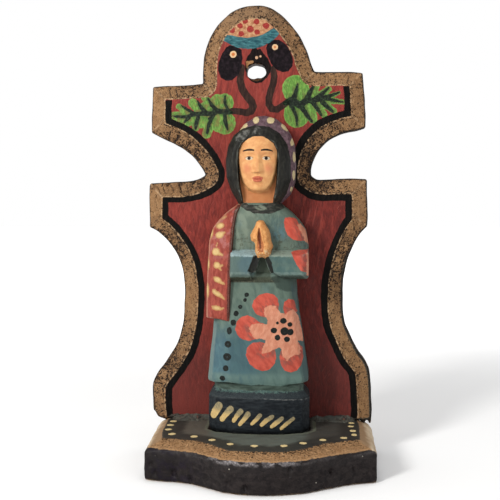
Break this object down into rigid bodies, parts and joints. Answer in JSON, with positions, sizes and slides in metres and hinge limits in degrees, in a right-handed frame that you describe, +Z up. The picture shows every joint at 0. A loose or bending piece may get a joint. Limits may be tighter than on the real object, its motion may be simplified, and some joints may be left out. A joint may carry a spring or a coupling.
{
  "type": "carved wooden madonna statue",
  "caption": "Hand-carved, painted wooden praying figure in front of a shaped backboard on a bow-fronted base, with a hanging hole near the top.",
  "frame": {"origin": "middle of the whole object's footprint, on the surface it stands on", "axes": "+Z up, +Y towards the back of the backboard, +X to the right seen from the front"},
  "size_m": [0.1142, 0.0812, 0.2298],
  "materials": {
    "board_painted_wood": "brush-painted brick red with black line, bare tan knife-cut bevel, black edges",
    "base_painted_wood": "brush-painted dark grey top and near-black front, bare tan bevel, cream dashes",
    "figure_painted_wood": "brush-painted over knife-carved facets: grey-green dress, coral flowers, brick shawl",
    "nail_steel": "dull wire nail, lightly rusted",
    "pin_steel": "dark panel pin heads",
    "wood_glue": "set wood glue and filler, painted over"
  },
  "bodies": {
    "root": {"backboard": "board_painted_wood", "base": "base_painted_wood", "figure": "figure_painted_wood", "board_nails": "nail_steel", "pedestal_nails": "nail_steel", "figure_nails": "nail_steel", "foot_pins": "pin_steel", "glue_beads": "wood_glue"}
  },
  "joints": []
}
